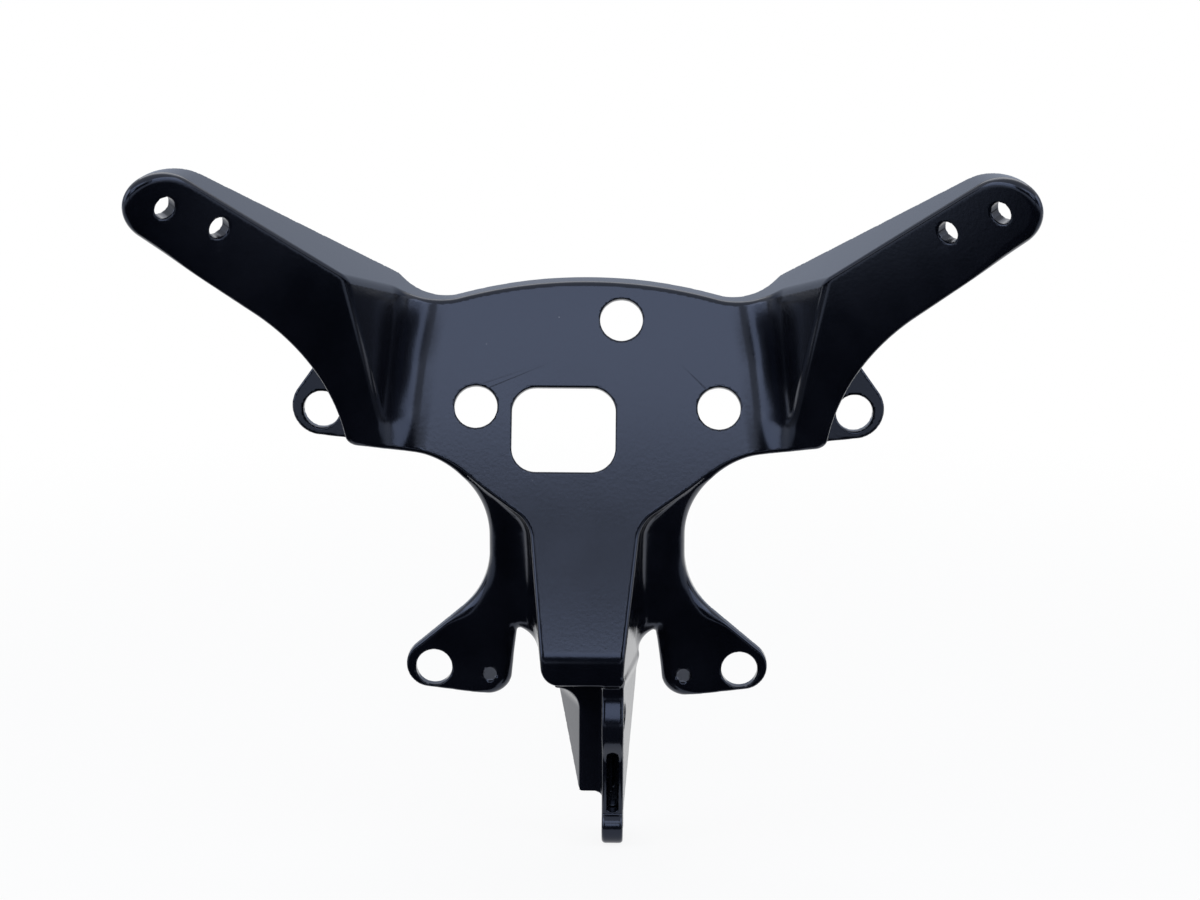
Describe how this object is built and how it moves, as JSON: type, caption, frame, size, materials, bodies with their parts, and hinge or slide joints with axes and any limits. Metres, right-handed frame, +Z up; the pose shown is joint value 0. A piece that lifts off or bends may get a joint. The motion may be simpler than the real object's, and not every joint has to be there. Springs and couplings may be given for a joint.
{
  "type": "fairing stay",
  "caption": "One-piece cast bracket that carries a motorcycle's gauges, headlight and mirrors: perforated plate, two swept arms, two legs and a bolted tongue.",
  "frame": {"origin": "middle of the upper frame bolt's bore in the lug", "axes": "+X to the rider's right, along the frame bolts; +Y forward, away from the rider; +Z up"},
  "size_m": [0.3575, 0.1695, 0.3071],
  "materials": {
    "black_coat": "semi-gloss black powder coat on cast aluminium alloy"
  },
  "bodies": {
    "root": {"fairing_stay": "black_coat"}
  },
  "joints": []
}
